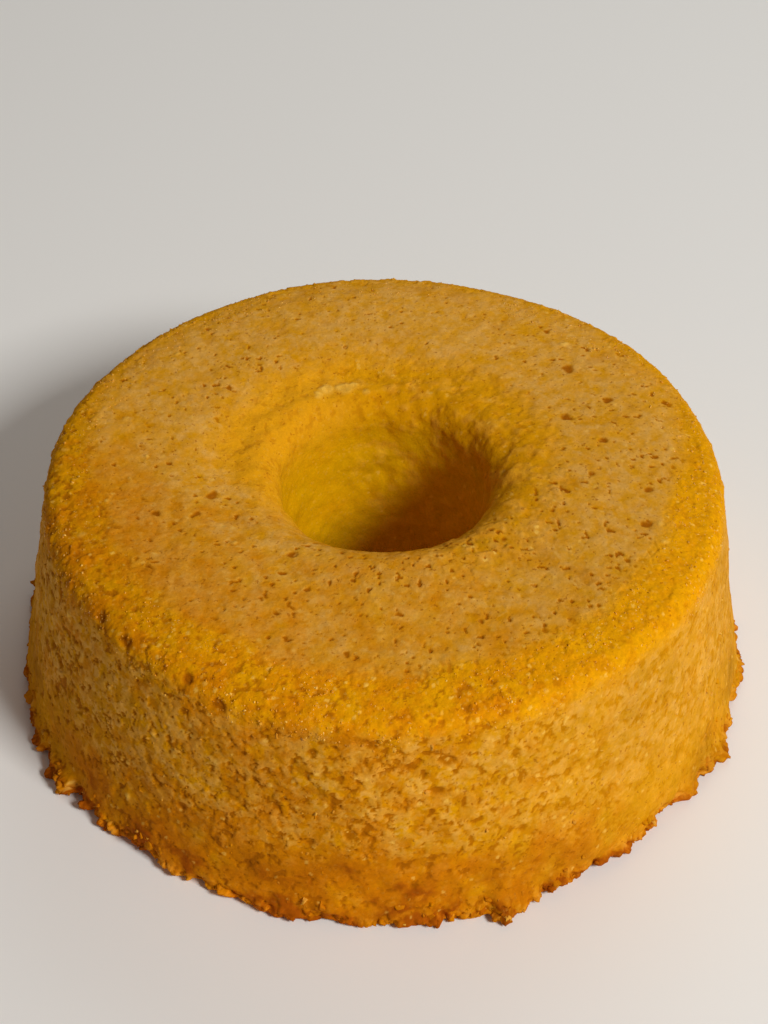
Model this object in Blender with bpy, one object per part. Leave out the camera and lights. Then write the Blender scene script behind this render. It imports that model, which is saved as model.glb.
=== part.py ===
"""A ring-shaped corn cake, turned out of its tin and standing on the crust that it rose with.

Metres, +Z up. The origin is the middle of the flat underside. The front of the cake faces -Y.
"""

import math

import bmesh
import bpy

# Driving dimensions
BASE_RADIUS = 0.110  # the crust edge that the cake stands on
TOP_RADIUS = 0.0967  # where the side's slope would meet the top
HEIGHT = 0.0690
HOLE_TOP_RADIUS = 0.0305  # the tin's tube, just under the lip
HOLE_BASE_RADIUS = 0.0270

# How the edges are rounded
SHOULDER_RADIUS = 0.0060
SHOULDER_SLOPE_START = 0.0790  # from here outwards the top falls towards the shoulder
SHOULDER_FALL = 0.0011
LIP_WIDTH = 0.0135  # the lip of the hole is a soft quarter ellipse
LIP_DEPTH = 0.0110
EDGE_BEVEL = 0.0012  # round the underside

# The baked edge at the bottom
CRUST_HEIGHT = 0.0120
CRUST_FLARE = 0.0008
CRUST_RAGGEDNESS = 0.0011

# Where the crust's edge stands out or has broken away: (degrees, half width in degrees, height)
# Degrees turn from the front, -Y, towards the right-hand side, +X.
CRUST_BULGES = (
    (-58, 9, 0.0028),
    (-36, 14, -0.0014),
    (-13, 7, 0.0018),
    (18, 5, 0.0038),
    (38, 15, -0.0027),
    (62, 7, 0.0024),
    (97, 12, -0.0012),
    (128, 9, 0.0022),
    (163, 12, 0.0015),
    (-166, 10, -0.0018),
    (-128, 12, 0.0016),
    (-92, 10, -0.0010),
)

# Where the top's outer edge stands high or has sunk, in the same way
TOP_BULGES = (
    (126, 16, 0.0013),
    (60, 30, 0.0005),
    (180, 28, -0.0010),
    (-135, 30, -0.0006),
    (-40, 25, 0.0003),
)

# How far the whole cake is from round and smooth
OUT_OF_ROUND = 0.0006
TOP_WAVES = 0.0003
WALL_WAVES = 0.0007

STEPS_ROUND = 120

CAKE_COLOUR = (0.58, 0.25, 0.025, 1.0)
CAKE_ROUGHNESS = 0.72


def arc(centre_r, centre_z, radius_r, radius_z, start, end, steps):
    """Points of an elliptic arc as (r, z), from one angle in degrees to another, both ends included."""
    points = []
    for step in range(steps + 1):
        angle = math.radians(start + (end - start) * step / steps)
        r = centre_r + radius_r * math.cos(angle)
        z = centre_z + radius_z * math.sin(angle)
        points.append((r, z))
    return points


def line(start, end, steps):
    """Points between two (r, z) places, both of them left out."""
    points = []
    for step in range(1, steps):
        share = step / steps
        r = start[0] + (end[0] - start[0]) * share
        z = start[1] + (end[1] - start[1]) * share
        points.append((r, z))
    return points


def outer_side():
    """The side from the underside's edge up to the shoulder, closer together in the crust."""
    taper = (BASE_RADIUS - TOP_RADIUS) / HEIGHT
    slope = math.atan(taper)
    shoulder_z = HEIGHT - SHOULDER_FALL - SHOULDER_RADIUS
    shoulder_r = BASE_RADIUS - taper * shoulder_z - SHOULDER_RADIUS / math.cos(slope)
    shoulder = arc(
        shoulder_r, shoulder_z, SHOULDER_RADIUS, SHOULDER_RADIUS, math.degrees(slope), 90, 5
    )
    crust = []
    for share in (0.1, 0.3, 0.6, 1.0):
        z = CRUST_HEIGHT * share
        crust.append((BASE_RADIUS - taper * z, z))
    return [(BASE_RADIUS - EDGE_BEVEL, 0.0)] + crust + line(crust[-1], shoulder[0], 6) + shoulder


def top(shoulder_end, lip_start):
    """The top from the shoulder to the lip: it falls outwards from SHOULDER_SLOPE_START."""
    points = []
    for step in range(1, 3):
        share = 1 - step / 3
        r = SHOULDER_SLOPE_START + (shoulder_end[0] - SHOULDER_SLOPE_START) * share
        points.append((r, HEIGHT - SHOULDER_FALL * share * share))
    flat_start = (SHOULDER_SLOPE_START, HEIGHT)
    return points + [flat_start] + line(flat_start, lip_start, 5)


def hole():
    """The soft lip and the wall that the tin's tube left, narrower towards the underside."""
    lip_r = HOLE_TOP_RADIUS + LIP_WIDTH
    lip = arc(lip_r, HEIGHT - LIP_DEPTH, LIP_WIDTH, LIP_DEPTH, 90, 180, 6)
    wall_end = (HOLE_BASE_RADIUS, EDGE_BEVEL)
    return lip + line(lip[-1], wall_end, 6) + [wall_end, (HOLE_BASE_RADIUS + EDGE_BEVEL, 0.0)]


def profile():
    """The cake's cut face on one side, as a closed row of (r, z) from the underside's outer edge."""
    side = outer_side()
    inside = hole()
    return side + top(side[-1], inside[0]) + inside


def bulge_height(bulges, angle):
    """The height at an angle in radians of an edge's smooth humps and dents, added up."""
    height = 0.0
    for place, half_width, rise in bulges:
        away = (math.degrees(angle) - place + 180) % 360 - 180
        height += rise * math.exp(-((away / half_width) ** 2))
    return height


def raggedness(angle):
    """A rough edge between -1 and 1, from sines that don't share a period."""
    return (
        0.40 * math.sin(13 * angle + 0.6)
        + 0.35 * math.sin(19 * angle + 2.1)
        + 0.25 * math.sin(29 * angle + 4.4)
    )


def uneven(point):
    """Moves a point of the round cake to where the baked one has it. The underside stays flat."""
    radius = math.hypot(point.x, point.y)
    angle = math.atan2(point.x, -point.y)
    up = point.z / HEIGHT
    outwards = (radius - HOLE_BASE_RADIUS) / (BASE_RADIUS - HOLE_BASE_RADIUS)

    near_crust = max(0.0, 1 - point.z / CRUST_HEIGHT) ** 1.5
    edge = bulge_height(CRUST_BULGES, angle) + CRUST_RAGGEDNESS * raggedness(angle) + CRUST_FLARE
    round_error = OUT_OF_ROUND * math.cos(2 * angle + 0.8) + 0.5 * OUT_OF_ROUND * math.cos(3 * angle)
    wall_wave = WALL_WAVES * math.sin(5 * angle + 9 * up) * math.cos(3 * angle + 4 * up)
    radius += outwards ** 4 * (near_crust * edge + round_error) + wall_wave * up * (1 - up) * 2

    rise = bulge_height(TOP_BULGES, angle) * outwards ** 2
    wave = TOP_WAVES * (math.sin(3 * angle + 7 * outwards) + math.cos(5 * angle - 5 * outwards))
    height = point.z + (rise + wave) * up ** 2
    return radius * math.sin(angle), -radius * math.cos(angle), height


def cake_material():
    """Baked corn meal: a deep golden, dull crumb."""
    material = bpy.data.materials.new("corn_crumb")
    material.use_nodes = True
    shader = material.node_tree.nodes["Principled BSDF"]
    shader.inputs["Base Color"].default_value = CAKE_COLOUR
    shader.inputs["Roughness"].default_value = CAKE_ROUGHNESS
    shader.inputs["Metallic"].default_value = 0.0
    material.diffuse_color = CAKE_COLOUR
    return material


def build_cake():
    """Spins the profile round the upright axis, then makes the ring uneven."""
    shape = bmesh.new()
    outline = [shape.verts.new((r, 0.0, z)) for r, z in profile()]
    edges = []
    for index, vertex in enumerate(outline):
        edges.append(shape.edges.new((vertex, outline[(index + 1) % len(outline)])))
    bmesh.ops.spin(
        shape,
        geom=outline + edges,
        cent=(0, 0, 0),
        axis=(0, 0, 1),
        angle=2 * math.pi,
        steps=STEPS_ROUND,
        use_duplicate=False,
    )
    bmesh.ops.remove_doubles(shape, verts=shape.verts, dist=0.00001)
    for vertex in shape.verts:
        vertex.co = uneven(vertex.co)
    bmesh.ops.recalc_face_normals(shape, faces=shape.faces)

    mesh = bpy.data.meshes.new("corn_cake")
    shape.to_mesh(mesh)
    shape.free()
    mesh.shade_smooth()
    mesh.set_sharp_from_angle(angle=math.radians(50))
    mesh.materials.append(cake_material())
    cake = bpy.data.objects.new("corn_cake", mesh)
    bpy.context.scene.collection.objects.link(cake)


for old in list(bpy.data.objects):
    bpy.data.objects.remove(old, do_unlink=True)
build_cake()
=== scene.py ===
"""The looks of a ring-shaped corn cake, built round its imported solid. Metres, +Z up, front at -Y."""
import itertools
import math

import bmesh
import bpy
import numpy as np
from mathutils import Matrix, Vector


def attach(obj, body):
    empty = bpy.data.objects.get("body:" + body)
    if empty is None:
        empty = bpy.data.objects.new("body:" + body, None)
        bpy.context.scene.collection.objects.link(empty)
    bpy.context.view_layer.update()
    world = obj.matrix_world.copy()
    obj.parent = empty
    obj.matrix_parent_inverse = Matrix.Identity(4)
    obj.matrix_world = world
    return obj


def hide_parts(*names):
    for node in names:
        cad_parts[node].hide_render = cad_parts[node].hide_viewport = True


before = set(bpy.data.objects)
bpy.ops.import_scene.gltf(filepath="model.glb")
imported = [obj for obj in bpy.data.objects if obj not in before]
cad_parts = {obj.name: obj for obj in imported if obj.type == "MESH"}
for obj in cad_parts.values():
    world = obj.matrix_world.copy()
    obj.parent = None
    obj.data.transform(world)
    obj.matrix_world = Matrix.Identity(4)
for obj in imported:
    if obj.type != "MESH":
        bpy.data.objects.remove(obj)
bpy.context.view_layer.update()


# ------------------------------------------------------------------------------------------------
# The risen crust
# The cake stands on what was the top of the batter: flat and browned underneath, with a toasted
# edge that broke into ragged lumps as the cake came out of its tin. It is a ring, like each piece
# of the cake's skin, so that it is closed and has crumb behind it everywhere.
# ------------------------------------------------------------------------------------------------

MM = 0.001
BASE_RADIUS = 110.0
TOP_RADIUS = 96.7  # where the side's slope would meet the top
HEIGHT = 69.0
HOLE_TOP_RADIUS = 30.5
HOLE_BASE_RADIUS = 27.0
SHOULDER_RADIUS = 6.0
SHOULDER_SLOPE_START = 79.0
SHOULDER_FALL = 1.1
LIP_WIDTH = 13.5
LIP_DEPTH = 11.0
CRUST_HEIGHT = 12.0
EDGE_ROUND = 2.4
UNDERSIDE_MIDDLE = 68.0
SIDE_RADIUS = 105.0  # halfway up, where degrees are turned into millimetres
ARC_POINTS = 40
TOP_POINTS = 30

# Humps and dents of the two outer edges: (degrees from the front, half width in degrees, height)
CRUST_BULGES = (
    (-58, 9, 2.8),
    (-36, 14, -1.4),
    (-13, 7, 1.8),
    (18, 5, 3.8),
    (38, 15, -2.7),
    (62, 7, 2.4),
    (97, 12, -1.2),
    (128, 9, 2.2),
    (163, 12, 1.5),
    (-166, 10, -1.8),
    (-128, 12, 1.6),
    (-92, 10, -1.0),
)
TOP_BULGES = (
    (126, 16, 1.3),
    (60, 30, 0.5),
    (180, 28, -1.0),
    (-135, 30, -0.6),
    (-40, 25, 0.3),
)


def arc(centre_r, centre_z, radius_r, radius_z, start, end):
    """An elliptic arc as rows of (r, z): the centre plus each radius times the cosine or sine."""
    angle = np.radians(np.linspace(start, end, ARC_POINTS))
    return np.stack([centre_r + radius_r * np.cos(angle), centre_z + radius_z * np.sin(angle)], 1)


def cake_profile():
    """The closed path of (r, z) round the cake's cut face, in millimetres, with its length so far:
    from the middle of the underside out to the edge, up the side, over the top, down the hole and
    back. Its edges, shoulder and lip are arcs, and the top falls outwards with the square of the
    distance. The third result is the length at which each stretch begins."""
    taper = (BASE_RADIUS - TOP_RADIUS) / HEIGHT
    slope = math.atan(taper)
    across = math.degrees(slope)
    edge_r = BASE_RADIUS - taper * EDGE_ROUND - EDGE_ROUND / math.cos(slope)
    edge = arc(edge_r, EDGE_ROUND, EDGE_ROUND, EDGE_ROUND, -90, across)
    shoulder_z = HEIGHT - SHOULDER_FALL - SHOULDER_RADIUS
    shoulder_r = BASE_RADIUS - taper * shoulder_z - SHOULDER_RADIUS / math.cos(slope)
    shoulder = arc(shoulder_r, shoulder_z, SHOULDER_RADIUS, SHOULDER_RADIUS, across, 90)
    share = np.linspace(1, 0, TOP_POINTS + 1)[1:, None]
    fall = np.hstack([
        SHOULDER_SLOPE_START + (shoulder_r - SHOULDER_SLOPE_START) * share,
        HEIGHT - SHOULDER_FALL * share ** 2,
    ])
    lip = arc(HOLE_TOP_RADIUS + LIP_WIDTH, HEIGHT - LIP_DEPTH, LIP_WIDTH, LIP_DEPTH, 90, 180)
    inner = arc(HOLE_BASE_RADIUS + EDGE_ROUND, EDGE_ROUND, EDGE_ROUND, EDGE_ROUND, 180, 270)
    start = [(UNDERSIDE_MIDDLE, 0.0)]
    path = np.vstack([start, edge, shoulder, fall, lip, inner, start])
    length = np.concatenate([[0], np.cumsum(np.hypot(*np.diff(path, axis=0).T))])
    shoulder_ends = 2 * ARC_POINTS
    lip_begins = shoulder_ends + TOP_POINTS + 1
    begins = dict(
        side=length[ARC_POINTS],
        shoulder=length[ARC_POINTS + 1],
        top=length[shoulder_ends],
        lip=length[lip_begins],
        wall=length[lip_begins + ARC_POINTS - 1],
    )
    return path, length, begins


PROFILE, PROFILE_LENGTH, BEGINS = cake_profile()
WHOLE_LENGTH = PROFILE_LENGTH[-1]


def on_profile(along):
    """The (r, z) at a length along the closed path."""
    along = np.mod(along, WHOLE_LENGTH)
    return np.interp(along, PROFILE_LENGTH, PROFILE[:, 0]), np.interp(along, PROFILE_LENGTH, PROFILE[:, 1])


def hump(value, middle, half_width, power=2):
    """1 at the middle, falling off to both sides as exp(-(distance / half width)^power)."""
    return np.exp(-(np.abs(value - middle) / half_width) ** power)


def bulge_height(bulges, angle):
    """The sum of smooth humps round an edge, each one times its height."""
    total = np.zeros_like(angle)
    for place, half_width, rise in bulges:
        away = (np.degrees(angle) - place + 180) % 360 - 180
        total += rise * hump(away, 0, half_width)
    return total


def on_cake(radius, height, angle):
    """Where a place (r, z, angle) of the round cake lies on the uneven baked one: the same humps
    and waves as the solid's, fading out towards the underside and towards the hole."""
    up = height / HEIGHT
    outwards = np.clip((radius - HOLE_BASE_RADIUS) / (BASE_RADIUS - HOLE_BASE_RADIUS), 0, 1.2)
    near_crust = np.clip(1 - height / CRUST_HEIGHT, 0, 1) ** 1.5
    edge = bulge_height(CRUST_BULGES, angle) + 0.8
    round_error = 0.6 * np.cos(2 * angle + 0.8) + 0.3 * np.cos(3 * angle)
    wall_wave = 0.7 * np.sin(5 * angle + 9 * up) * np.cos(3 * angle + 4 * up)
    radius = radius + outwards ** 4 * (near_crust * edge + round_error)
    radius = radius + wall_wave * 2 * up * (1 - up)
    rise = bulge_height(TOP_BULGES, angle) * outwards ** 2
    wave = 0.3 * (np.sin(3 * angle + 7 * outwards) + np.cos(5 * angle - 5 * outwards))
    height = height + (rise + wave) * up ** 2
    return np.stack([radius * np.sin(angle), -radius * np.cos(angle), height], -1)


def lattice_number(x, y, z, seed):
    """A number from 0 to 1 for each whole-numbered place: the three coordinates times large odd
    numbers, mixed by shifts and products of their bits."""
    mixed = x.astype(np.uint32) * np.uint32(0x8DA6B343)
    mixed ^= y.astype(np.uint32) * np.uint32(0xD8163841)
    mixed ^= z.astype(np.uint32) * np.uint32(0xCB1AB31F)
    mixed ^= np.uint32((seed * 0x9E3779B1) % 2 ** 32)
    for shift, factor in ((15, 0x2C1B3C6D), (12, 0x297A2D39)):
        mixed ^= mixed >> np.uint32(shift)
        mixed *= np.uint32(factor)
    mixed ^= mixed >> np.uint32(15)
    return mixed.astype(np.float32) / np.float32(2 ** 32)


def hills(points, size, seed, layers=1):
    """Smooth random hills between -1 and 1. Random heights at the corners of a lattice are blended
    along x, y and z with the curve 3t^2 - 2t^3. Each further layer is half the size and height."""
    total = 0.0
    for layer in range(layers):
        place = points / (size / 2 ** layer) + 13.7 * (seed + layer)
        corner = np.floor(place).astype(np.int64)
        part = (place - corner).astype(np.float32)
        part = part * part * (3 - 2 * part)
        for step in itertools.product((0, 1), repeat=3):
            weight = np.prod(np.where(step, part, 1 - part), axis=-1)
            number = lattice_number(*np.moveaxis(corner + step, -1, 0), seed + 31 * layer)
            total = total + weight * (2 * number - 1) / 2 ** layer
    return total / (2 - 2.0 ** (1 - layers))


def grains(points, size, seed):
    """Splits space into grains: all that is nearest to one of the centres scattered one to a
    lattice cell. Gives the distance to the grain's border, the distance to its centre, the grain's
    own number and a plane's height: the way from the centre, measured along a direction of the
    grain's own, so that each grain leans its own way."""
    place = points / size
    cell = np.floor(place).astype(np.int64)
    nearest = np.full(points.shape[:-1], np.inf, np.float32)
    second = nearest.copy()
    way = np.zeros(points.shape, np.float32)
    home = np.zeros(points.shape, np.int64)
    for step in itertools.product((-1, 0, 1), repeat=3):
        near = cell + step
        offset = np.stack([lattice_number(*np.moveaxis(near, -1, 0), seed + axis) for axis in range(3)], -1)
        towards = near + offset - place
        away = np.linalg.norm(towards, axis=-1).astype(np.float32)
        closer = away < nearest
        second = np.where(closer, nearest, np.minimum(second, away))
        nearest = np.where(closer, away, nearest)
        way[closer] = towards[closer]
        home[closer] = near[closer]
    own, *tilt = (lattice_number(*np.moveaxis(home, -1, 0), seed + 5 + axis) for axis in range(4))
    plane = (way * (2 * np.stack(tilt, -1) - 1)).sum(-1)
    return (second - nearest) * size, nearest * size, own, plane * size


def ease(value, low, high):
    """0 up to low, 1 from high, and the curve 3t^2 - 2t^3 between."""
    part = np.clip((value - low) / (high - low), 0, 1)
    return part * part * (3 - 2 * part)


# Single tears and holes: (degrees from the front, radius, height, half width)
TORN_SIDE = (
    (-51, 96.5, 66.5, 2.6),
    (-44, 97, 66.0, 2.8),
    (-31, 96.5, 66.5, 2.2),
    (-25, 98, 63.5, 2.9),
    (-10, 99.2, 56.1, 1.9),
    (-18.6, 101.5, 43.9, 1.8),
    (-4.1, 104, 31.2, 2.6),
    (-1.3, 98.3, 60.5, 1.8),
    (9.9, 99.5, 54.5, 3.0),
    (8.2, 101.3, 45.3, 2.0),
    (21, 104.7, 27.4, 2.0),
    (39.9, 101, 47, 1.5),
    (42.8, 99.2, 56, 1.8),
    (-30, 105.0, 26, 1.9),
    (-64, 102.5, 39, 2.2),
    (70, 103.0, 36, 2.0),
    (101, 100.5, 49, 2.6),
    (139, 103.5, 33, 2.8),
    (-163, 99.5, 55, 2.6),
    (-118, 102.0, 42, 2.5),
)
TORN_TOP = (
    (-7, 76.1, 68.8, 1.3),
    (22.5, 80.6, 68.8, 1.9),
    (32.7, 78.8, 68.9, 1.5),
    (28.2, 85.9, 68.4, 1.1),
    (22.4, 68.2, 69, 1.1),
    (17.7, 79.2, 69, 1.1),
    (-74.4, 50.7, 68.8, 2.7),
    (-66.8, 57.4, 69, 1.9),
    (-76.2, 69.9, 69, 1.7),
    (-70.3, 67.9, 69, 1.4),
    (-52.2, 65.9, 69, 1.2),
    (-33.3, 45.6, 68.8, 2.2),
    (86.7, 59.2, 69, 1.8),
    (115.2, 73.0, 69, 2.3),
    (130.1, 72.3, 69, 3.3),
    (100.2, 64.4, 69, 2.2),
    (112.9, 58.4, 69, 2.4),
    (82.8, 75.1, 69, 2.0),
    (72.2, 76.6, 69, 2.2),
    (47.8, 44.9, 68.8, 1.6),
    (-37.7, 76.5, 69, 1.5),
)


# Single grains that are paler than the rest, and five close together that make a pale smear at the
# back of the lip, a painted highlight standing for the shine of its moist crumb: (degrees from the
# front, radius, height, half width)
PALE_GRAINS_AND_LIP_HIGHLIGHT = (
    (-59, 99, 57, 1.6), (-36, 101.5, 44, 1.3), (-49, 103, 36, 1.4), (-42, 101.9, 42, 1.1),
    (-40, 106.5, 18, 1.6), (61, 98.6, 59, 1.2), (-28, 100.8, 48, 1.2), (-83.5, 73, 69, 1.4),
    (-103.5, 79, 69, 1.8), (-91, 69, 69, 1.2), (-50, 54, 69, 1.3), (73, 80, 69, 1.4),
    (96, 84, 69, 1.5), (137, 80.5, 69, 1.8), (68, 83.5, 69, 1.3), (39.5, 86.5, 68.4, 1.4),
    (-93, 92.5, 67, 1.9), (-69, 89, 68, 1.5), (152, 97.5, 60, 1.6), (-150, 101, 46, 1.5),
    (-128, 82, 69, 1.5), (115, 100, 52, 1.5), (-148.5, 39.0, 68.2, 2.3), (-153.5, 40.2, 68.4, 3.6),
    (-161, 39.4, 68.3, 3.9), (-165.5, 40.2, 68.4, 2.4), (-170.2, 36.3, 67.0, 1.8),
)

# Lumps and notches of the crust's edge: (degrees from the front, half width in degrees, rise)
RIM_LUMPS = (
    (-84, 2.6, -1.4), (-74, 1.8, 1.5), (-67, 2.6, 0.9), (-61.3, 1.2, -2.5), (-57.2, 1.2, 1.6),
    (-54.2, 1.2, 3.3), (-51, 1.2, -2.9), (-47, 1.2, -1.7), (-36, 2.6, -1.1), (-30, 1.8, 1.2),
    (-26.3, 1.2, -3.6), (-20, 1.8, -1.7), (-14, 0.9, 1.1), (-7, 2.6, -2.2), (-1.8, 0.9, 1.4),
    (0.5, 1.2, -1.6), (7, 4.0, 1.2), (8.2, 0.8, 1.3), (9.2, 0.8, -2.4), (15.2, 0.9, -3.2),
    (17.5, 1.1, 3.0), (20, 1.8, 1.1), (24.5, 0.8, -1.0), (25.8, 0.8, 1.7), (33.2, 0.8, -1.8),
    (40, 4.0, 1.3), (48, 2.6, -1.9), (51.5, 0.8, -1.6), (54.2, 1.2, 2.3), (57.7, 1.2, -2.6),
    (64, 1.8, 3.0), (68, 1.2, -2.0), (70.5, 0.8, 0.8), (74, 1.8, -1.8), (81, 4.0, 1.6),
)


# Broad stretches of the side that toasted more or stayed yellower, and are darker or lighter:
# (degrees from the front, height, half width, how much more or less they toasted, how much darker
# they are)
BAKED_PATCHES = (
    (-73, 17, 10, 0.30, 0.19), (-68, 58, 7, 0.0, 0.08), (-53, 3, 5, -0.10, -0.07),
    (-46, 5, 5, -0.40, -0.16), (-43, 3, 5, -0.10, -0.11), (-36, 34, 7, 0.30, 0.05),
    (-31, 2, 6, -0.10, -0.10), (-22, 5, 7, -0.25, -0.10), (-18, 1, 6, -0.25, -0.24),
    (-15, 46, 9, 0.22, 0.03), (-3, 1, 5, 0.0, -0.15), (-2, 12, 6, -0.56, -0.14), (2, 4, 5, 0.26, 0.17),
    (8, 9, 5, -0.30, 0.0), (16, 13, 5, 0.20, 0.11), (17, 2, 6, 0.20, 0.18), (27, 12, 8, 0.24, 0.12),
    (30, 56, 6, 0.0, 0.07), (32, 10, 5, 0.15, 0.08), (38, 6, 5, 0.15, 0.0), (44, 50, 12, -0.15, 0.17),
    (53, 25, 9, -0.45, 0.0), (60, 8, 8, 0.14, 0.25), (67, 30, 9, -0.35, 0.02), (76, 13, 9, 0.0, 0.27),
)


def marks(points, table):
    """How deep each point is inside the listed balls: 1 in the middle of one, 0 outside them all."""
    deepest = np.zeros(points.shape[:-1], np.float32)
    for degrees, radius, height, half_width in table:
        turn = math.radians(degrees)
        centre = np.array([radius * math.sin(turn), -radius * math.cos(turn), height])
        away = np.abs(points - centre).max(-1)
        close = away < 2 * half_width
        distance = np.linalg.norm(points[close] - centre, axis=-1)
        deepest[close] = np.maximum(deepest[close], np.clip(1 - distance / half_width, 0, 1))
    return deepest


def relief_and_masks(points, along):
    """The height in millimetres that crumb, skin and crust add to the smooth cake, and the masks
    that its colours follow, at places on the cake so far along its profile. Each part of the cake
    has its own relief, a weighted sum of hills, grains and pits, and the parts fade into one
    another along wandering lines."""
    along = np.mod(along, WHOLE_LENGTH)
    radius = np.hypot(points[..., 0], points[..., 1])
    height = points[..., 2]
    right = points[..., 0] / radius
    front = -points[..., 1] / radius
    turn = np.degrees(np.arctan2(right, front))

    # Hills that all the parts share, from 24 mm across down to 1.7 mm
    warp = np.stack([hills(points, 2.4, seed, 2) for seed in (3, 4, 5)], -1)
    slow = hills(points, 24, 1, 2)
    patch = hills(points, 11, 2, 2)
    middle = hills(points, 6, 6, 2)
    fine = hills(points, 1.7, 7, 2)
    wander = 1.8 * patch + 1.2 * middle + 0.6 * fine

    # Where each part lies. Behind, the shoulder's moist band is 12 mm narrower, and in front the
    # lip begins 19 mm later.
    past_shoulder = ease(along + wander, BEGINS["shoulder"] - 4.0, BEGINS["shoulder"] + 3.0)
    band_end = BEGINS["top"] + 11.5 - 12.0 * ease(-front, -0.3, 0.5)
    past_band = ease(along + 2.2 * wander, band_end - 4.0, band_end + 5.0)
    lip_start = BEGINS["lip"] - 11.0 + 19.0 * ease(front, -0.4, 0.8)
    past_lip = ease(along + 1.5 * wander, lip_start - 3.0, lip_start + 9.0)
    underneath = 1 - ease(height, 0.2, 2.2)
    side = (1 - past_shoulder) * (1 - underneath)
    shoulder = past_shoulder * (1 - past_band) * (1 - past_lip)
    top = past_shoulder * past_band * (1 - past_lip)
    hole = past_lip * (1 - underneath)
    low = (1 - ease(height + 5.0 * patch + 2.0 * middle, 14, 33)) * (1 - past_lip)
    rim = (1 - ease(height + 2.0 * middle + 1.5 * patch, 0.5, 8.0)) * (1 - past_lip)

    # What all of the crumb is made of: small grains in larger lumps, each a little in or out
    lump_border, _, lump, lump_plane = grains(points + 0.9 * warp, 3.1, 11)
    _, near_grain, grain, grain_plane = grains(points + 0.4 * warp, 1.3, 21)
    crack = 1 - ease(lump_border, 0.0, 0.6)
    bump = 1 - ease(near_grain, 0.1, 0.9)
    rubble = 0.19 * (lump - 0.5) + 0.06 * (grain - 0.5) + 0.04 * bump
    rubble = rubble + 0.14 * lump_plane + 0.03 * grain_plane
    raised = 1.0 * (lump - 0.5) + 0.6 * (grain - 0.5) + 0.7 * hills(points + 0.5 * warp, 3.4, 47, 2)
    clod = ease(hills(points + 0.5 * warp, 3.6, 45, 2), 0.28, 0.60)

    # The side: flat, jagged chips of skin between golden rubble and small torn gaps
    open_crumb = hills(points + 0.6 * warp, 2.1, 41, 3) + 0.25 * (grain - 0.5)
    openness = ease(patch + 0.6 * slow, -0.9, 0.4) * (1 - 0.6 * low)
    gap = ease(0.18 * crack - open_crumb - 0.39 + 0.12 * openness, 0.0, 0.14)
    crisp = 1 - 0.6 * ease(right, 0.15, 0.75)
    torn = ease(marks(points + 0.9 * warp, TORN_SIDE), 0.05, 0.55)
    gap = np.maximum(gap, torn)
    chip = hills(points + 0.8 * warp, 2.3, 42, 3) + 0.35 * (grain - 0.5) + 0.25 * (lump - 0.5)
    chip = ease(chip + 0.12 * patch - 0.35 * low, -0.26, 0.04)
    side_relief = (0.74 * crisp - 0.2 * chip) * (1 - 0.4 * low) * (1 - 0.4 * rim) * rubble
    side_relief = side_relief + 0.30 * slow + 0.30 * middle + (0.08 - 0.05 * low) * fine + 0.08 * chip
    side_relief = side_relief + 0.22 * clod * crisp - (0.23 + 0.08 * openness) * crisp * gap
    pin = hills(points + 0.3 * warp, 1.15, 43, 2) + 0.25 * (grain - 0.5)
    pin = ease(pin + 0.08 * patch, 0.46, 0.60) * (1 - 0.6 * low) * crisp
    side_relief = side_relief - 0.35 * torn - 0.22 * pin
    even = 0.8 * ease(right, 0.15, 0.6)
    skin = ((1 - even) * chip + 0.65 * even) * (0.85 + 0.3 * grain)
    skin = skin * (1 - gap) * (1 - pin) * (1 - 0.7 * low)

    # The shoulder: gritty, with raised lumps and a few tears
    grit = ease(grain, 0.35, 0.6) * bump
    band_gap = ease(0.10 * crack - open_crumb, 0.26, 0.44)
    shoulder_relief = 0.28 * slow + 0.16 * middle + 0.09 * fine + 0.6 * rubble + 0.10 * grit
    shoulder_relief = shoulder_relief + (0.30 + 0.3 * ease(-right, 0.7, 0.95)) * clod
    shoulder_relief = shoulder_relief - 0.20 * crisp * band_gap - 0.8 * torn

    # The top: a thin, flaky skin with small jagged pits and shallow wrinkles
    crowd = ease(0.5 * front + 0.35 * right + 0.8 * patch + 0.3 * slow, -0.7, 0.8)
    pit_size = hills(points + 0.5 * warp, 1.5, 51, 2) + 0.12 * hills(points, 9.0, 52)
    pore = ease(pit_size + 0.10 * crowd + 0.20 * (grain - 0.5), 0.53, 0.66)
    pore = np.maximum(pore, ease(marks(points + 1.1 * warp, TORN_TOP), 0.15, 0.6))
    wrinkle = hills(points + 0.8 * warp, 3.2, 55, 3)
    scale_edge = 1 - ease(np.abs(hills(points + 0.6 * warp, 6.0, 57, 2)), 0.0, 0.06)
    dent = ease(-hills(points, 4.4, 58, 2), 0.15, 0.6)
    top_relief = 0.36 * slow + 0.16 * middle + 0.18 * wrinkle + 0.08 * fine - 0.36 * pore
    top_relief = top_relief + 0.25 * rubble - 0.14 * dent - 0.04 * scale_edge
    funnel = (1 - ease(radius, 42, 62)) * ease(-0.6 * front - 0.5 * right + 0.3, -0.2, 0.9)
    top_relief = top_relief - 2.2 * funnel
    lip_grit = (1 - ease(radius, 46, 58)) * ease(right - 0.4 * front, -0.3, 0.4)
    knob = ease(hills(points + 0.4 * warp, 3.3, 65, 2), -0.05, 0.50)
    top_relief = top_relief + lip_grit * (0.4 * rubble + 0.48 * knob)

    # The hole: soft lumps, more open near the lip
    near_lip = 1 - ease(along, BEGINS["wall"] - 6.0, BEGINS["wall"] + 10.0)
    lip_lumps = hills(points, 5.2, 63, 2)
    hole_relief = 0.30 * slow + 0.32 * middle + 0.05 * fine + (0.20 + 0.1 * lip_grit) * rubble
    hole_relief = hole_relief + (0.62 + 0.10 * near_lip) * lip_lumps - 0.12 * near_lip * gap
    hole_relief = hole_relief + near_lip * (0.15 * clod + 0.28 * lip_grit * knob)
    hole_relief = hole_relief - 2.2 * funnel * (1 - ease(along, BEGINS["lip"], BEGINS["lip"] + 12.0))

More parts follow.
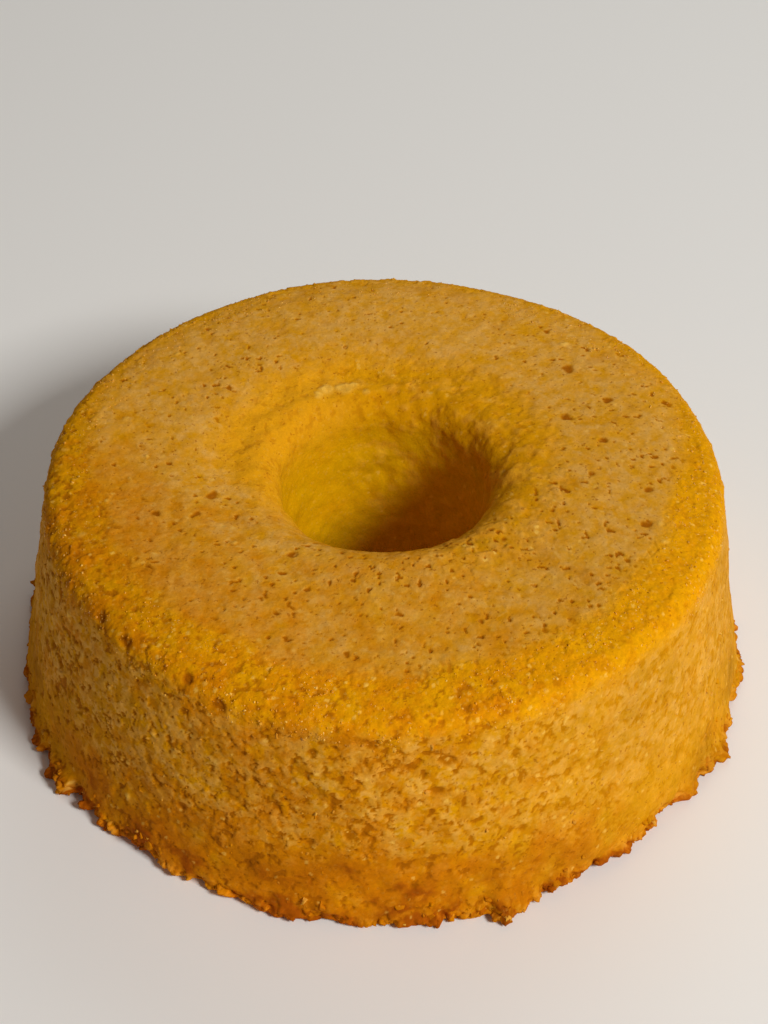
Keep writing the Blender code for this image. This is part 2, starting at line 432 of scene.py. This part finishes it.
    # The crust underneath, flat where it stands, and the ragged lumps round its edge
    chunk_border, _, chunk, chunk_plane = grains(points + 1.2 * warp, 4.2, 71)
    chunk_gap = 1 - ease(chunk_border, 0.0, 0.9)
    lumps = hills(points, 7.5, 73, 2)
    behind = ease(np.abs(turn), 84, 92)
    ragged = behind * (2.2 * ease(lumps, 0.05, 0.55) - 1.5 * ease(-lumps, 0.0, 0.5))
    ragged = ragged + 0.85 * bulge_height(RIM_LUMPS, np.radians(turn) + 0.010 * warp[..., 0])
    ragged = ragged + 1.4 * (chunk - 0.5) + 0.25 * chunk_plane - 0.40 * chunk_gap + 0.2 * fine
    ragged = ragged + 1.2 * (lump - 0.5) + 0.15 * (grain - 0.5) + 0.25 * lump_plane - 0.4 * crack
    ragged = ragged * (1 + 0.5 * ease(-right, 0.3, 0.8) + 0.30 * ease(right, 0.3, 0.7))
    crust_relief = -0.25 + 0.35 * middle - 0.5 * ease(hills(points, 5.0, 75, 2), 0.15, 0.6)

    # Single pale or bright grains, and the painted highlight at the back of the lip
    pale_grain_and_highlight = ease(marks(points + 0.9 * warp, PALE_GRAINS_AND_LIP_HIGHLIGHT), 0.05, 0.65) * (1 - underneath)
    pale_grain_and_highlight = pale_grain_and_highlight * (0.55 + 0.45 * ease(hills(points + 0.3 * warp, 1.9, 66, 2), -0.3, 0.3))

    relief = side * side_relief + shoulder * shoulder_relief + top * top_relief + hole * hole_relief
    relief = relief + underneath * crust_relief + rim * (1 - 0.6 * underneath) * ragged + 0.4 * pale_grain_and_highlight

    # What the colours follow: first how much each place toasted, darkened or warmed by where it is
    baked = np.zeros(points.shape[:-1], np.float32)
    darker = np.zeros(points.shape[:-1], np.float32)
    for degrees, up, half_width, more, dark in BAKED_PATCHES:
        round_way = np.radians(turn - degrees) * SIDE_RADIUS
        away = np.hypot(round_way + 2 * wander, height - up + 2 * middle)
        baked = baked + more * hump(away, 0, half_width) * (1 - past_lip)
        darker = darker + dark * hump(away, 0, half_width) * (1 - past_lip)
    browner = hump(turn, -12, 46, 4)
    left_edge = hump(turn, -68, 30) * ease(radius, 58, 70) * (1 - 0.6 * ease(radius, 80, 88))
    # The front is warmer, and the sides and the back paler, through facing_front here and film and warmth
    # below: partly more dry skin there, partly a painted sheen where the surface is seen at a slant.
    facing_front = ease(front, -0.3, 0.6) * (1 - 0.8 * ease(right, 0.2, 0.9))

    # Film is the dull skin that the tin left, depth the deep colour of gaps and pits: partly the moister
    # crumb inside them and partly painted shade in them
    blush = hills(points + 0.6 * warp, 4.4, 91, 3) + 0.2 * slow + 0.2 * patch + 0.3 * left_edge
    film_top = (1 - 0.5 * ease(blush, -0.2, 0.4)) * (1 - pore) * (1 - 0.10 * left_edge)
    film_top = film_top * (1 - 0.5 * lip_grit) * (1.15 - 0.28 * ease(front, 0.2, 0.8))
    film_top = film_top * (0.78 + 0.44 * grain) * ease(raised + 1.2 * wrinkle, -1.7, 1.1)
    film_side = skin * ease(raised, -1.2, 0.9) * (0.68 + 0.30 * ease(np.abs(right), 0.35, 0.9))
    film = top * film_top + side * film_side + rim * 0.5 * ease(raised, 0.0, 0.7)
    film = film + hole * 0.08 * near_lip + 0.25 * lip_grit * (knob - 0.3)
    side_depth_and_shade = np.maximum(gap, 0.8 * pin) * (0.9 * crisp - 0.1) * (0.7 + 0.3 * ease(front, -0.4, 0.2))
    depth_and_shade = side * side_depth_and_shade + shoulder * np.maximum(0.7 * crisp * band_gap, torn)
    depth_and_shade = depth_and_shade + top * (pore + 0.15 * dent) + hole * gap * 0.3 * near_lip

    # Warmth turns yellow crumb orange, in drifts, in front and low on the side. Less of it at the back
    # leaves a paler colour that is partly painted sheen.
    low_patch = hills(points + warp, 9.0, 97, 2)
    drift = 0.7 * hills(points, 7.0, 93, 3) + 0.3 * patch - (0.45 - 0.25 * low) * raised
    drift = crisp * (1 - 0.5 * top) * drift - 0.25 * ease(-front, -0.2, 0.6)
    drift = drift - 0.25 * (1 - ease(radius, 45, 62)) * ease(-right, -0.2, 0.6)
    warm_side = 0.58 * hump(turn, -15, 34) + 0.5 * low * browner * (1 + 1.5 * low_patch)
    warm = (0.42 * facing_front + 0.34 * left_edge) * (top + shoulder) + side * warm_side
    warm = warm + (1 - past_lip) * drift + 0.8 * baked

    # Toast browns the crust, its edge and, in smudges, the foot of the side
    ramp = 1 - ease(height + 6.0 * patch + 3.0 * middle, 2, 36)
    smudges = 1 + 0.6 * middle + 1.3 * low_patch + 0.7 * hills(points + 0.5 * warp, 3.6, 99, 2)
    toast = 0.72 * ramp * browner * smudges + 0.12 * left_edge * (1 - side)
    rim_toast = 0.12 + 0.30 * ease(-right, 0.3, 0.9) + 0.6 * hills(points, 4.5, 95, 2)
    rim_toast = rim_toast + 1.1 * (chunk - 0.5) - 0.5 * raised + 0.42 * (1 - browner)
    rim_toast = rim_toast + 0.25 * chunk_gap + 0.10 * np.clip(ragged, 0, 3)
    toast = toast * (1 - 0.2 * raised) + rim * rim_toast + 0.8 * baked
    toast = np.maximum(toast * (1 - past_lip), underneath * (0.75 + 0.35 * middle))

    # Pale meal shows in single grains, and gritty crumb has a grain of its own
    pale = 0.6 * shoulder + 0.5 * side + 0.3 * top + 0.5 * lip_grit
    pale = pale * ease(grain, 0.965, 0.985) * (bump > 0.3)
    pale = np.maximum(pale, 0.7 * pale_grain_and_highlight)
    gritty = 0.7 * shoulder + 0.35 * top + 0.4 * hole
    gritty = gritty + 0.5 * side * (1 - 0.4 * skin) * (1 - 0.6 * low)

    # Tone makes crumb a little lighter (above 0.5) or darker, and inner is the hole's own yellow
    # Painted gloss: the shoulder is lighter in front, where its moist crumb catches the light.
    painted_shoulder_gloss = shoulder * ease(front, -0.3, 0.3) * ease(turn, -60, -20)
    tone = 0.5 + 0.12 * painted_shoulder_gloss + 0.05 * (top + shoulder) * raised
    # Painted sheen: top, shoulder and hole are a little darker in front and a little lighter towards the
    # back.
    tone = tone + (top + hole + shoulder) * (0.03 * ease(-front, -0.2, 0.7) - 0.02)
    tone = tone - 0.03 * shoulder * ease(-right, 0.35, 0.75) - 0.02 * top * ease(right, 0.3, 0.9)
    # Painted light: the hole near its lip is lighter on the left, where the light falls on it.
    tone = tone + 0.06 * hole * near_lip * ease(-right, 0.2, 0.8) + 0.10 * rim * (1 + raised)
    tone = tone - side * (0.03 + 0.04 * hump(turn, -15, 18) - 0.12 * raised - 0.08 * patch)
    # Painted highlight: a ring round the lip is lighter at the back left, where the light falls on it.
    painted_lip_highlight = hump(radius, 45, 10) * ease(-0.7 * right - 0.6 * front, 0.1, 0.7) * (height > 40)
    tone = tone + 0.10 * painted_lip_highlight - darker + 0.10 * lip_grit * (knob - 0.4)
    inner = hole * ease(along, BEGINS["lip"] + 9.0, BEGINS["wall"] + 6.0)
    inner = inner * (0.80 + 0.35 * hills(points, 7.0, 98, 2))
    masks = dict(film=film, depth_and_shade=depth_and_shade, warm=warm, toast=toast, pale=pale, gritty=gritty)
    masks.update(inner=inner, tone=tone)
    return relief, {name: np.clip(mask, 0, 1) for name, mask in masks.items()}


FACING_STEP = 0.4  # how far before and after a place the profile's direction is read


def skin_places(along, angle):
    """The smooth cake's places in millimetres at lengths along the profile and angles round the
    cake, the relief there, the directions in which the smooth cake faces, and the masks."""
    radius, height = on_profile(along)
    before_r, before_z = on_profile(along - FACING_STEP)
    after_r, after_z = on_profile(along + FACING_STEP)
    way = np.hypot(after_r - before_r, after_z - before_z)
    face_r = (after_z - before_z) / way
    face_z = (before_r - after_r) / way
    smooth = on_cake(radius, height, angle)
    relief, masks = relief_and_masks(smooth, along)
    facing = np.stack(np.broadcast_arrays(face_r * np.sin(angle), -face_r * np.cos(angle), face_z), -1)
    return smooth, relief, facing, masks


def wrapped_faces(rows, columns):
    """The four-cornered faces of a grid that closes on itself along both of its parameters."""
    row, column = np.meshgrid(np.arange(rows), np.arange(columns), indexing="ij")
    up = (row + 1) % rows
    across = (column + 1) % columns
    corners = (row * columns + column, row * columns + across, up * columns + across, up * columns + column)
    return np.stack(corners, -1).reshape(-1, 4)


def mesh_piece(name, points, faces, masks, material):
    """Makes an object of points (n, 3) in metres and faces (m, 3 or 4), with a number at each point
    for each mask."""
    mesh = bpy.data.meshes.new(name)
    mesh.vertices.add(len(points))
    mesh.vertices.foreach_set("co", points.astype(np.float32).ravel())
    mesh.loops.add(faces.size)
    mesh.loops.foreach_set("vertex_index", faces.astype(np.int32).ravel())
    mesh.polygons.add(len(faces))
    mesh.polygons.foreach_set("loop_start", np.arange(0, faces.size, faces.shape[1], dtype=np.int32))
    mesh.update(calc_edges=True)
    mesh.shade_smooth()
    for mask, values in masks.items():
        attribute = mesh.attributes.new(mask, "FLOAT", "POINT")
        attribute.data.foreach_set("value", values.astype(np.float32).ravel())
    mesh.materials.append(material)
    piece = bpy.data.objects.new(name, mesh)
    bpy.context.scene.collection.objects.link(piece)
    return piece


FLOOR_GAP = 0.05  # keeps the underside just clear of the floor
SEAM_WIDTH = 3.0  # over which a ring's end dives under its neighbour
SEAM_SINK = 1.0


def ring_piece(name, start, end, row_step, columns, hidden, material):
    """A closed ring that shows the skin between two lengths along the profile, in rows so far apart
    and with so many columns round the cake. It goes on for a seam's width at both ends, where it
    sinks with the square of the distance, and hidden (r, z) places lead back inside the cake from
    the end to the start."""
    along = np.arange(start - SEAM_WIDTH, end + SEAM_WIDTH, row_step)
    angle = np.linspace(0, 2 * math.pi, columns, endpoint=False)[None, :]
    smooth, relief, facing, masks = skin_places(along[:, None], angle)
    past = SEAM_WIDTH - np.minimum(along - along[0], along[-1] - along)
    sink = SEAM_SINK * (np.maximum(past, 0) / SEAM_WIDTH) ** 2
    shown = smooth + facing * (relief - sink[:, None])[..., None]
    back = np.array(hidden, float)
    inside = on_cake(back[:, 0:1], back[:, 1:2], angle)
    points = np.concatenate([shown, inside])
    points[..., 2] = np.maximum(points[..., 2], FLOOR_GAP)
    unseen = np.full((len(back), columns), 0.5)
    masks = {mask: np.concatenate([values, unseen]) for mask, values in masks.items()}
    faces = wrapped_faces(len(points), columns)
    piece = mesh_piece(name, points.reshape(-1, 3) * MM, faces, masks, material)
    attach(piece, "root")
    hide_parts("corn_cake")


def new_group(name, inputs, outputs):
    """An empty node group with named sockets, its input node and its output node."""
    group = bpy.data.node_groups.new(name, "ShaderNodeTree")
    for socket, kind, value in inputs:
        made = group.interface.new_socket(socket, in_out="INPUT", socket_type=kind)
        made.default_value = value
    for socket, kind in outputs:
        group.interface.new_socket(socket, in_out="OUTPUT", socket_type=kind)
    return group, group.nodes.new("NodeGroupInput"), group.nodes.new("NodeGroupOutput")


def set_or_link(tree, socket, value):
    """Feeds a socket from another socket, or sets it to a plain value."""
    if isinstance(value, bpy.types.NodeSocket):
        tree.links.new(value, socket)
    else:
        socket.default_value = value


def mix_colour(tree, blend, factor, first, second):
    """A colour Mix node. factor, first and second are each a socket or a plain value."""
    mix = tree.nodes.new("ShaderNodeMix")
    mix.data_type = "RGBA"
    mix.blend_type = blend
    set_or_link(tree, mix.inputs[0], factor)
    set_or_link(tree, mix.inputs[6], first)
    set_or_link(tree, mix.inputs[7], second)
    return mix.outputs[2]


def spread(tree, value, low, high, to_low, to_high):
    """A Map Range node that takes low to to_low and high to to_high."""
    node = tree.nodes.new("ShaderNodeMapRange")
    tree.links.new(value, node.inputs["Value"])
    for socket, number in zip(node.inputs[1:5], (low, high, to_low, to_high)):
        socket.default_value = number
    return node.outputs[0]


# The colours of crumb, skin and crust, as linear red, green, blue and opacity
YELLOW = (0.690, 0.300, 0.0004, 1.0)
ORANGE = (0.640, 0.212, 0.0004, 1.0)
TAN_SKIN = (0.690, 0.296, 0.0300, 1.0)
# Pale skin is the dry skin's paler colour, and at the sides and the back partly a painted sheen
PALE_SKIN_AND_SHEEN = (0.700, 0.360, 0.0640, 1.0)
# Deep crumb colours gaps and pits: partly the moister crumb there, partly painted shade
DEEP_CRUMB_AND_SHADE = (0.390, 0.112, 0.0004, 1.0)
INNER_CRUMB = (0.640, 0.335, 0.0006, 1.0)
TOASTED = (0.520, 0.145, 0.0010, 1.0)
BURNT_EDGE = (0.320, 0.060, 0.0015, 1.0)
PALE_MEAL = (0.850, 0.500, 0.0800, 1.0)

# The masks that every point of the cake has: dull film, depth of gaps (partly painted shade),
# warmth, toast, pale meal, grittiness, the hole's own crumb, and tone, which leaves a colour as it
# is at 0.5 and in places holds painted light
MASKS = ("film", "depth_and_shade", "warm", "toast", "pale", "gritty", "inner", "tone")
MEAL_SIZE = 0.75


def maths(tree, operation, first, second, third=0.0, clamp=False):
    """A Math node. Its values are each a socket or a plain value."""
    node = tree.nodes.new("ShaderNodeMath")
    node.operation = operation
    node.use_clamp = clamp
    for socket, value in zip(node.inputs, (first, second, third)):
        set_or_link(tree, socket, value)
    return node.outputs[0]


def noise_of(tree, place, size, detail):
    """Noise between 0 and 1 whose features are about so many millimetres across."""
    node = tree.nodes.new("ShaderNodeTexNoise")
    node.inputs["Scale"].default_value = 1 / (size * MM)
    node.inputs["Detail"].default_value = detail
    node.inputs["Roughness"].default_value = 0.6
    tree.links.new(place, node.inputs["Vector"])
    return node.outputs["Fac"]


def crumb_group():
    """The colour and the fine grain of corn crumb from its eight masks. Yellow and orange crumb mix
    by warmth, and the hole has its own. Skin, toast, the deep colour of gaps and pale meal are laid
    over in turn, and tone makes all of it lighter or darker, in places as painted light. The deep
    colour is partly the moister crumb in gaps and pits and partly painted shade in them. Grains of
    meal are small cells, each a little lighter or darker than the next. Pinholes are where a noise is
    high, except in the hole, and take the deep colour too. The grains and finer noise raise the
    surface, and pinholes sink it."""
    group, taken, given = new_group(
        "Corn crumb",
        [(mask, "NodeSocketFloat", 0.0) for mask in MASKS],
        [("Colour", "NodeSocketColor"), ("Height", "NodeSocketFloat")],
    )
    place = group.nodes.new("ShaderNodeTexCoord").outputs["Object"]
    film, depth_and_shade, warm, toast, pale, gritty, inner, tone = (taken.outputs[mask] for mask in MASKS)
    fine = noise_of(group, place, 0.8, 3)
    blotch = noise_of(group, place, 2.6, 3)
    hue = noise_of(group, place, 5.5, 2)
    pinhole = noise_of(group, place, 1.3, 2)
    cells = group.nodes.new("ShaderNodeTexVoronoi")
    cells.inputs["Scale"].default_value = 1 / (MEAL_SIZE * MM)
    group.links.new(place, cells.inputs["Vector"])
    split = group.nodes.new("ShaderNodeSeparateColor")
    group.links.new(cells.outputs["Color"], split.inputs["Color"])
    chosen, shade = split.outputs[:2]

    warmth = maths(group, "ADD", warm, spread(group, hue, 0.35, 0.65, -0.20, 0.20), clamp=True)
    crumb = mix_colour(group, "MIX", warmth, YELLOW, ORANGE)
    crumb = mix_colour(group, "MIX", inner, crumb, INNER_CRUMB)
    dry = mix_colour(group, "MIX", warmth, PALE_SKIN_AND_SHEEN, TAN_SKIN)
    skin = maths(group, "MULTIPLY", film, spread(group, blotch, 0.34, 0.60, 0.62, 1.12), clamp=True)
    colour = mix_colour(group, "MIX", skin, crumb, dry)
    colour = mix_colour(group, "MIX", toast, colour, TOASTED)
    colour = mix_colour(group, "MIX", spread(group, toast, 0.65, 1.15, 0.0, 1.0), colour, BURNT_EDGE)
    outside = maths(group, "SUBTRACT", 1.0, inner, clamp=True)
    # Pinholes take the deep colour: partly moist crumb, partly painted shade in pits that are only a bump.
    hole = maths(group, "MULTIPLY", spread(group, pinhole, 0.63, 0.71, 0.0, 0.68), outside)
    deep = maths(group, "MAXIMUM", depth_and_shade, hole, clamp=True)
    colour = mix_colour(group, "MIX", deep, colour, DEEP_CRUMB_AND_SHADE)
    meal = maths(group, "MULTIPLY", spread(group, chosen, 0.93, 0.97, 0.0, 0.30), gritty)
    meal = maths(group, "ADD", pale, meal, clamp=True)
    colour = mix_colour(group, "MIX", meal, colour, PALE_MEAL)
    mottle = maths(group, "MULTIPLY_ADD", spread(group, shade, 0.0, 1.0, -0.09, 0.09), gritty, 1.0)
    mottle = maths(group, "MULTIPLY", mottle, spread(group, fine, 0.3, 0.7, 0.93, 1.06))
    mottle = maths(group, "MULTIPLY", mottle, maths(group, "ADD", tone, 0.5))
    colour = mix_colour(group, "MULTIPLY", 1.0, colour, mottle)
    group.links.new(colour, given.inputs["Colour"])

    dome = spread(group, cells.outputs["Distance"], 0.0, 0.7, 1.0, 0.0)
    height = maths(group, "MULTIPLY_ADD", dome, gritty, fine)
    height = maths(group, "SUBTRACT", height, hole)
    group.links.new(height, given.inputs["Height"])
    return group


CRUMB_GROUP = crumb_group()


BUMP_HEIGHT = 0.30
BUMP_STRENGTH = 0.3


def crumb_material(name, roughness, shine):
    """Corn crumb so rough and so shiny, its masks read from the mesh."""
    material = bpy.data.materials.new(name)
    material.use_nodes = True
    tree = material.node_tree
    shader = tree.nodes["Principled BSDF"]
    crumb = tree.nodes.new("ShaderNodeGroup")
    crumb.node_tree = CRUMB_GROUP
    for mask in MASKS:
        reader = tree.nodes.new("ShaderNodeAttribute")
        reader.attribute_name = mask
        tree.links.new(reader.outputs["Fac"], crumb.inputs[mask])
    tree.links.new(crumb.outputs["Colour"], shader.inputs["Base Color"])
    bump = tree.nodes.new("ShaderNodeBump")
    bump.inputs["Distance"].default_value = BUMP_HEIGHT * MM
    bump.inputs["Strength"].default_value = BUMP_STRENGTH
    tree.links.new(crumb.outputs["Height"], bump.inputs["Height"])
    tree.links.new(bump.outputs["Normal"], shader.inputs["Normal"])
    shader.inputs["Roughness"].default_value = roughness
    shader.inputs["Specular IOR Level"].default_value = shine
    return material


CRUMB = crumb_material("corn_crumb_surface", roughness=0.75, shine=0.03)
CRUST_TOP = BEGINS["side"] + 6.0
UNDERSIDE_END = BEGINS["side"] - 12.0
HOLE_SEAM = BEGINS["wall"] + 53.0
ring_piece(
    "risen_crust", HOLE_SEAM - WHOLE_LENGTH, UNDERSIDE_END, row_step=1.0, columns=700,
    hidden=[
        (BASE_RADIUS - 14, 9), (BASE_RADIUS - 24, 5),
        (HOLE_BASE_RADIUS + 16, 5), (HOLE_BASE_RADIUS + 9, 9),
    ],
    material=CRUMB,
)
ring_piece(
    "crust_edge", UNDERSIDE_END, CRUST_TOP, row_step=0.42, columns=1560,
    hidden=[(BASE_RADIUS - 12, 9), (BASE_RADIUS - 18, 4)], material=CRUMB,
)


# ------------------------------------------------------------------------------------------------
# The side
# Corn-meal crumb that baked against the tin's flared wall. Flakes of its dull tan skin stayed, and
# where they tore off, golden crumb and dark gaps show. Three rings share it, one above the other.
# ------------------------------------------------------------------------------------------------

SIDE_END = BEGINS["shoulder"] - 3.0
SIDE_SEAMS = np.linspace(CRUST_TOP, SIDE_END, 4)
for name, start, end in zip(("side_lower", "side_middle", "side_upper"), SIDE_SEAMS, SIDE_SEAMS[1:]):
    inner_radius, inner_height = on_profile((start + end) / 2)
    ring_piece(
        name, start, end, row_step=0.38, columns=1500,
        hidden=[(inner_radius - 10, inner_height + 6), (inner_radius - 10, inner_height - 6)],
        material=CRUMB,
    )


# ------------------------------------------------------------------------------------------------
# The shoulder
# Where the side turns into the top, the skin stuck to the tin and left bright, moist, gritty crumb
# with raised grains of meal and a few deep tears.
# ------------------------------------------------------------------------------------------------

SHOULDER_END = BEGINS["top"] + 7.0
ring_piece(
    "shoulder", SIDE_END, SHOULDER_END, row_step=0.41, columns=1380,
    hidden=[(TOP_RADIUS - 18, 58), (TOP_RADIUS - 10, 52)], material=CRUMB,
)


# ------------------------------------------------------------------------------------------------
# The top
# It was the bottom of the tin: a thin, nearly smooth tan skin, blotched with orange, with small
# sharp pits that air bubbles left.
# ------------------------------------------------------------------------------------------------

LIP_SEAM = BEGINS["lip"] + 5.0
MID_TOP = SHOULDER_END + 17.0
ring_piece(
    "top_outer", SHOULDER_END, MID_TOP, row_step=0.40, columns=1260,
    hidden=[(TOP_RADIUS - 30, HEIGHT - 13), (TOP_RADIUS - 22, HEIGHT - 13)], material=CRUMB,
)
ring_piece(
    "top_inner", MID_TOP, LIP_SEAM, row_step=0.41, columns=1020,
    hidden=[(HOLE_TOP_RADIUS + 16, HEIGHT - 15), (TOP_RADIUS - 34, HEIGHT - 13)], material=CRUMB,
)


# ------------------------------------------------------------------------------------------------
# The hole
# The tin's tube left it. Its lip is soft and lumpy, its wall golden and moist.
# ------------------------------------------------------------------------------------------------

ring_piece(
    "hole_wall", LIP_SEAM, HOLE_SEAM + 1.0, row_step=0.55, columns=480,
    hidden=[(HOLE_BASE_RADIUS + 10, 4), (HOLE_TOP_RADIUS + 12, HEIGHT - 22)], material=CRUMB,
)


# ------------------------------------------------------------------------------------------------
# The crumbs
# Loose-edged bits of crumb that cling to the cake: toasted ones round the crust's edge, golden
# ones on the side, shiny grits of meal on the shoulder and a few pale grains.
# ------------------------------------------------------------------------------------------------

def ball(parts):
    """The points and triangles of an icosahedron whose faces are split so many times, less one."""
    shape = bmesh.new()
    bmesh.ops.create_icosphere(shape, subdivisions=parts, radius=1.0)
    points = np.array([vertex.co[:] for vertex in shape.verts])
    faces = np.array([[vertex.index for vertex in face.verts] for face in shape.faces])
    shape.free()
    return points, faces


def turned(points, numbers):
    """Turns each set of points (n, m, 3) at random: three numbers a set make a unit quaternion,
    and v + 2w (q x v) + 2 q x (q x v) turns a point v by it."""
    first, second, third = numbers.T
    w = np.sqrt(1 - first) * np.sin(2 * np.pi * second)
    axis = np.stack([
        np.sqrt(1 - first) * np.cos(2 * np.pi * second),
        np.sqrt(first) * np.sin(2 * np.pi * third),
        np.sqrt(first) * np.cos(2 * np.pi * third),
    ], -1)[:, None, :]
    once = np.cross(axis, points)
    return points + 2 * w[:, None, None] * once + 2 * np.cross(axis, once)


BROKEN_SIDES = 6


def crumb_piece(name, along, angle, size, masks, seed, parts, sunk, material):
    """One object of many closed crumbs. Each is a ball pushed in and out by smooth and by rough
    noise, broken flat on some sides, squeezed and turned at random, and sunk by so much of its
    size into the displaced skin. A crumb's masks are half its own and half those of its place."""
    chance = np.random.default_rng(seed)
    smooth, relief, facing, under = skin_places(along, angle)
    count = len(size)
    points, faces = ball(parts)
    lumpy = hills(points[None] + chance.uniform(0, 900, (count, 1, 3)), 0.8, 303, 2)
    rough = 1 + 0.85 * lumpy[..., None] + chance.uniform(-0.09, 0.09, (count, len(points), 1))
    squeeze = chance.uniform(0.6, 1.25, (count, 1, 3))
    shapes = points[None] * rough
    for _ in range(BROKEN_SIDES):
        way = chance.standard_normal((count, 1, 3))
        way = way / np.linalg.norm(way, axis=-1, keepdims=True)
        past = (shapes * way).sum(-1, keepdims=True) - chance.uniform(0.35, 0.85, (count, 1, 1))
        shapes = shapes - np.maximum(past, 0) * way
    shapes = turned(shapes * squeeze, chance.random((count, 3))) * size[:, None, None]
    centres = smooth + facing * (relief - size * sunk)[:, None]
    places = shapes + centres[:, None, :]
    places[..., 2] = np.maximum(places[..., 2], FLOOR_GAP)
    every = (faces[None] + len(points) * np.arange(count)[:, None, None]).reshape(-1, 3)
    halves = {mask: 0.5 * masks.get(mask, 0.0) + 0.5 * under[mask] for mask in MASKS}
    masks = {mask: np.repeat(values, len(points)) for mask, values in halves.items()}
    piece = mesh_piece(name, places.reshape(-1, 3) * MM, every, masks, material)
    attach(piece, "root")
    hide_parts("corn_cake")


def clustered(chance, count, along_start, along_end, lean):
    """Random places on the skin between two lengths along the profile, crowded into patches:
    three times as many are tried, and smooth noise picks those that stay. A lean over 1 crowds
    them towards the first length."""
    tries = 3 * count
    along = along_start + (along_end - along_start) * chance.random(tries) ** lean
    angle = chance.uniform(0, 2 * math.pi, tries)
    radius, height = on_profile(along)
    crowd = hills(on_cake(radius, height, angle), 9.0, 301, 2) + 0.35 * chance.standard_normal(tries)
    best = np.argsort(-crowd)[:count]
    return along[best], angle[best]


# Toasted and golden crumbs fused to the crust's edge, most of them small
chance = np.random.default_rng(11)
count = 500
along, angle = clustered(chance, count, BEGINS["side"] - 2.0, BEGINS["side"] + 6.0, lean=1.3)
size = 0.6 + 1.9 * chance.random(count) ** 2.4
masks = dict(
    film=1.2 * np.clip(chance.random(count) - 0.5, 0, 1),
    depth_and_shade=0.3 * chance.random(count),
    warm=chance.random(count),
    toast=np.clip(chance.normal(0.52, 0.45, count) - 0.15 * np.sin(angle), 0, 1),
    pale=(chance.random(count) < 0.05) * 0.8,
    gritty=1.0,
    tone=chance.uniform(0.4, 0.62, count),
)
crumb_piece("edge_toasted_bits", along, angle, size, masks, seed=12, parts=3, sunk=0.58, material=CRUMB)

# Golden and tan crumbs on the side
chance = np.random.default_rng(21)
count = 1300
along, angle = clustered(chance, count, BEGINS["side"] + 7.0, BEGINS["shoulder"] + 1.0, lean=1.0)
size = 0.40 + 0.7 * chance.random(count) ** 3
masks = dict(
    film=(chance.random(count) < 0.6) * 1.0,
    warm=chance.random(count),
    pale=(chance.random(count) < 0.12) * 0.9,
    gritty=0.5,
    tone=chance.uniform(0.4, 0.62, count),
)
crumb_piece("side_crumbs", along, angle, size, masks, seed=22, parts=2, sunk=0.66, material=CRUMB)

# Moist grits of meal on the shoulder, with a little shine. Their pale colour and lighter tone are partly
# pale meal and partly painted glints.
chance = np.random.default_rng(31)
count = 7000
along, angle = clustered(chance, count, BEGINS["shoulder"] - 3.0, BEGINS["top"] + 9.0, lean=1.0)
size = 0.30 + 0.40 * chance.random(count) ** 2
masks = dict(
    warm=0.6 * chance.random(count),
    pale=(chance.random(count) < 0.24) * chance.uniform(0.3, 1.7, count),
    gritty=0.5,
    tone=chance.uniform(0.46, 0.84, count),
)
GRIT = crumb_material("moist_grit", roughness=0.32, shine=0.42)
crumb_piece("shoulder_grits", along, angle, size, masks, seed=32, parts=1, sunk=0.62, material=GRIT)


# ------------------------------------------------------------------------------------------------
# The floor, the light and the camera
# A plain pale floor. A soft light stands in front at the right, as a window does, and a weaker one
# behind, with a little warm light from all round. The camera looks down at the front of the cake.
# ------------------------------------------------------------------------------------------------

FLOOR_HALF_WIDTH = 3.0
LIGHT_DISTANCE = 2.0


def plain_floor():
    """A wide pale floor with a soft matt finish."""
    half = FLOOR_HALF_WIDTH
    corners = np.array([(-half, -half, 0), (half, -half, 0), (half, half, 0), (-half, half, 0)])
    material = bpy.data.materials.new("pale_floor")
    material.use_nodes = True
    shader = material.node_tree.nodes["Principled BSDF"]
    shader.inputs["Base Color"].default_value = (0.88, 0.87, 0.85, 1.0)
    shader.inputs["Roughness"].default_value = 0.8
    shader.inputs["Specular IOR Level"].default_value = 0.1
    mesh_piece("floor", corners, np.array([[0, 1, 2, 3]]), {}, material)


def soft_light(name, degrees_right, degrees_up, size, watts, colour):
    """A square light at a set distance that faces the middle of the cake."""
    data = bpy.data.lights.new(name, "AREA")
    data.size = size
    data.energy = watts
    data.color = colour
    light = bpy.data.objects.new(name, data)
    turn = math.radians(degrees_right)
    up = math.radians(degrees_up)
    way = Vector((math.cos(up) * math.sin(turn), -math.cos(up) * math.cos(turn), math.sin(up)))
    light.location = LIGHT_DISTANCE * way
    light.rotation_euler = (math.pi / 2 - up, 0, turn)
    bpy.context.scene.collection.objects.link(light)


plain_floor()
soft_light("window_light", 48, 40, size=0.5, watts=32.0, colour=(1.0, 1.0, 0.98))
soft_light("back_light", 165, 35, size=1.5, watts=9.0, colour=(0.9, 1.0, 1.0))
world = bpy.data.worlds.new("soft_room")
world.use_nodes = True
world.node_tree.nodes["Background"].inputs["Color"].default_value = (1.0, 0.80, 0.68, 1.0)
world.node_tree.nodes["Background"].inputs["Strength"].default_value = 0.16
bpy.context.scene.world = world
bpy.context.scene.view_settings.view_transform = "Standard"

CAMERA_PLACE = (0, -0.4028, 0.4136)
DEGREES_LEFT = 0.03
DEGREES_DOWN = 42.053
DEGREES_ROLLED = 1.007
camera_data = bpy.data.cameras.new("camera")
camera_data.sensor_width = 36.0
camera_data.lens = 64.83
camera = bpy.data.objects.new("camera", camera_data)
camera.matrix_world = (
    Matrix.Translation(CAMERA_PLACE)
    @ Matrix.Rotation(math.radians(DEGREES_LEFT), 4, "Z")
    @ Matrix.Rotation(math.radians(90 - DEGREES_DOWN), 4, "X")
    @ Matrix.Rotation(math.radians(DEGREES_ROLLED), 4, "Z")
)
bpy.context.scene.collection.objects.link(camera)
bpy.context.scene.camera = camera
